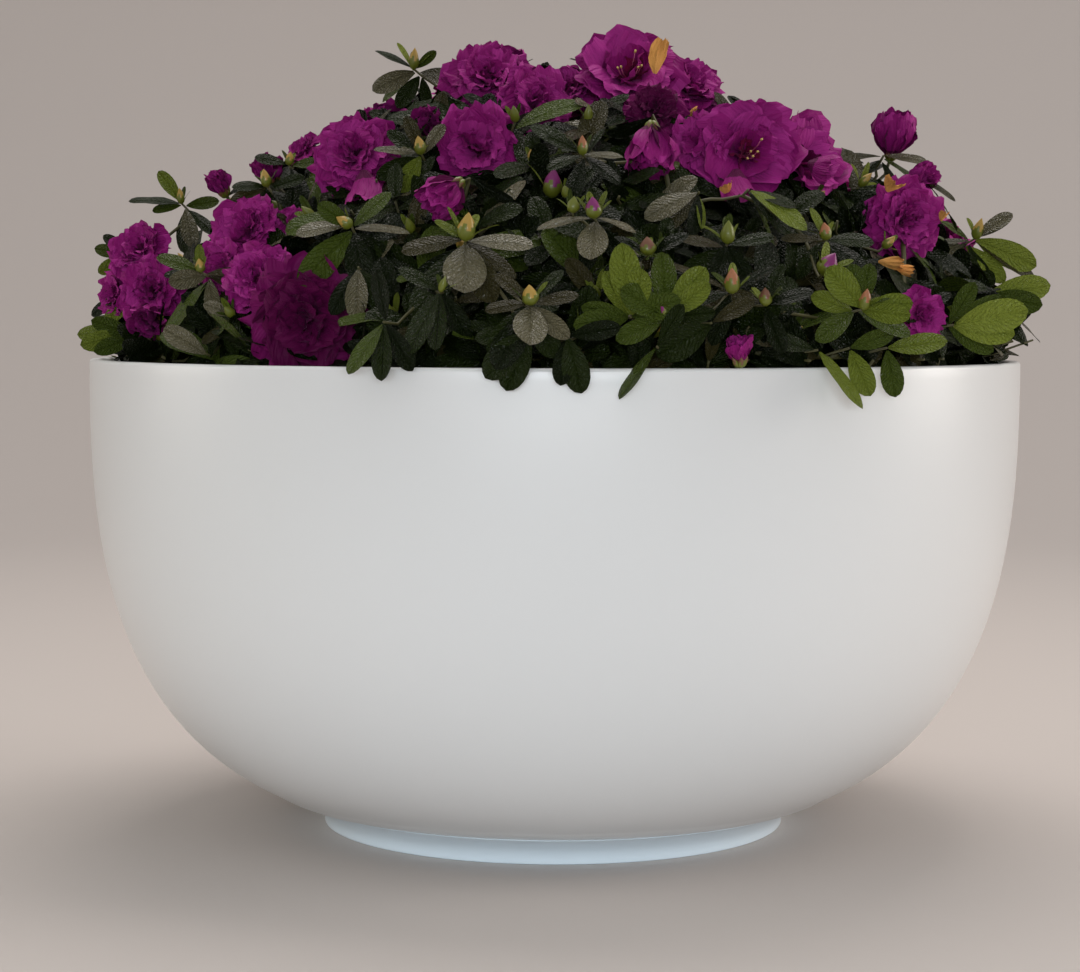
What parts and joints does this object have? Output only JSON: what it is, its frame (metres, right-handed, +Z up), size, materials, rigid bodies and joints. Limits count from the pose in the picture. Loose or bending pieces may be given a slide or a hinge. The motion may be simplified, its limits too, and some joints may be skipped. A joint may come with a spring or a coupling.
{
  "type": "azalea shrub in a bowl planter",
  "caption": "Low mounded flowering azalea shrub with magenta double blooms, planted in a wide smooth white bowl on a low round foot.",
  "frame": {"origin": "middle of the flat underside of the planter's foot", "axes": "+Z up, -Y towards the side that the picture shows, +X to that view's right; -Z out of the foot's underside"},
  "size_m": [0.6592, 0.6792, 0.5395],
  "materials": {
    "bowl_shell": "smooth satin white gel coat over fibreglass",
    "foot_ring": "smooth satin white, the same moulding as the bowl",
    "soil": "dark crumbly potting mix",
    "bark": "thin rough grey-brown bark",
    "foliage": "glossy dark green leaves with magenta double blooms and yellow-green buds"
  },
  "bodies": {
    "root": {"bough_1": "bark", "bough_2": "bark", "bough_3": "bark", "bough_4": "bark", "bough_5": "bark", "bowl": "bowl_shell", "climbing_bough_1": "bark", "climbing_bough_2": "bark", "climbing_bough_3": "bark", "climbing_bough_4": "bark", "climbing_bough_5": "bark", "foliage_inner_1": "foliage", "foliage_inner_2": "foliage", "foliage_inner_3": "foliage", "foliage_inner_4": "foliage", "foliage_inner_5": "foliage", "foliage_outer_1": "foliage", "foliage_outer_2": "foliage", "foliage_outer_3": "foliage", "foliage_outer_4": "foliage", "foliage_outer_5": "foliage", "foliage_outer_6": "foliage", "foliage_outer_7": "foliage", "foliage_outer_8": "foliage", "foliage_outer_9": "foliage", "foliage_top": "foliage", "foot_ring": "foot_ring", "leader": "bark", "side_bough_1": "bark", "side_bough_2": "bark", "side_bough_3": "bark", "side_bough_4": "bark", "soil": "soil", "trunk": "bark"}
  },
  "joints": []
}
